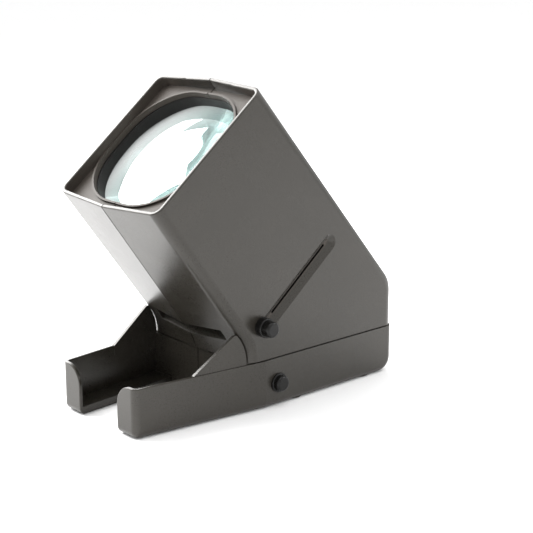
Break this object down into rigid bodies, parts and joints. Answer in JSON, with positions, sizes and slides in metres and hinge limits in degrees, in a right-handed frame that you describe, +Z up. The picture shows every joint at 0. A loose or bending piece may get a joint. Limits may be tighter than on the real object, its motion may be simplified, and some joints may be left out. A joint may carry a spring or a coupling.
{
  "type": "slide viewer",
  "caption": "Desktop viewer for mounted slides and film strips: tilted square hood with a large magnifier, lit gate, catch tray and push buttons.",
  "frame": {"origin": "middle of the base's flat underside, on the plane where the left and right shells meet", "axes": "+Z up, +X towards the user's right (the side with the buttons), -Y towards the user and the catch tray"},
  "size_m": [0.0875, 0.1676, 0.1632],
  "materials": {
    "housing": "satin warm dark grey moulding",
    "button_black": "semi-gloss black",
    "lens_glass": "clear polished acrylic",
    "inner_black": "matt black",
    "spring_steel": "plated spring steel",
    "screw_steel": "zinc plated",
    "diffuser_white": "matt white",
    "circuit_board": "white solder mask",
    "led_lens": "phosphor dome on a white package",
    "resistor": "black chip",
    "cell_jacket": "printed film jacket, plain",
    "lead_red": "insulated wire",
    "lead_black": "insulated wire"
  },
  "bodies": {
    "viewer": {"aa_cell_1": "cell_jacket", "aa_cell_2": "cell_jacket", "aa_cell_3": "cell_jacket", "aa_cell_4": "cell_jacket", "base_left_shell": "housing", "base_right_shell": "housing", "base_screws": "screw_steel", "battery_holder": "inner_black", "battery_lead": "lead_red", "board_resistors": "resistor", "board_screws": "screw_steel", "contact_plates": "spring_steel", "contact_springs": "spring_steel", "diffuser_panel": "diffuser_white", "film_gate_frame": "inner_black", "gate_plate": "inner_black", "hood_base_screws": "screw_steel", "hood_left_shell": "housing", "hood_right_shell": "housing", "hood_screws": "screw_steel", "lamp_lead": "lead_red", "led_board": "circuit_board", "leds": "led_lens", "lens_frame": "inner_black", "lens_retainer": "inner_black", "light_box": "diffuser_white", "light_button_collar": "button_black", "magnifier_lens": "lens_glass", "release_collar": "button_black", "release_spring": "spring_steel", "return_lead": "lead_black", "slide_mask": "inner_black", "slide_springs": "spring_steel", "switch_body": "inner_black"},
    "release": {"release_button": "button_black", "release_slider": "inner_black"},
    "light_switch": {"light_button": "button_black", "switch_plunger": "diffuser_white"},
    "battery_cover": {"battery_door": "housing"}
  },
  "joints": [
    {"name": "release_push", "type": "slide", "parent": "viewer", "child": "release", "axis": [-1, 0, 0], "range_m": [0, 0.0045], "stiffness_N_per_m": 250, "springref_m": -0.004, "deforming": ["release_spring"]},
    {"name": "light_push", "type": "slide", "parent": "viewer", "child": "light_switch", "axis": [-1, 0, 0], "range_m": [0, 0.002], "stiffness_N_per_m": 400, "springref_m": -0.002},
    {"name": "battery_cover_slide", "type": "slide", "parent": "viewer", "child": "battery_cover", "axis": [0, 1, 0], "range_m": [0, 0.072]}
  ]
}
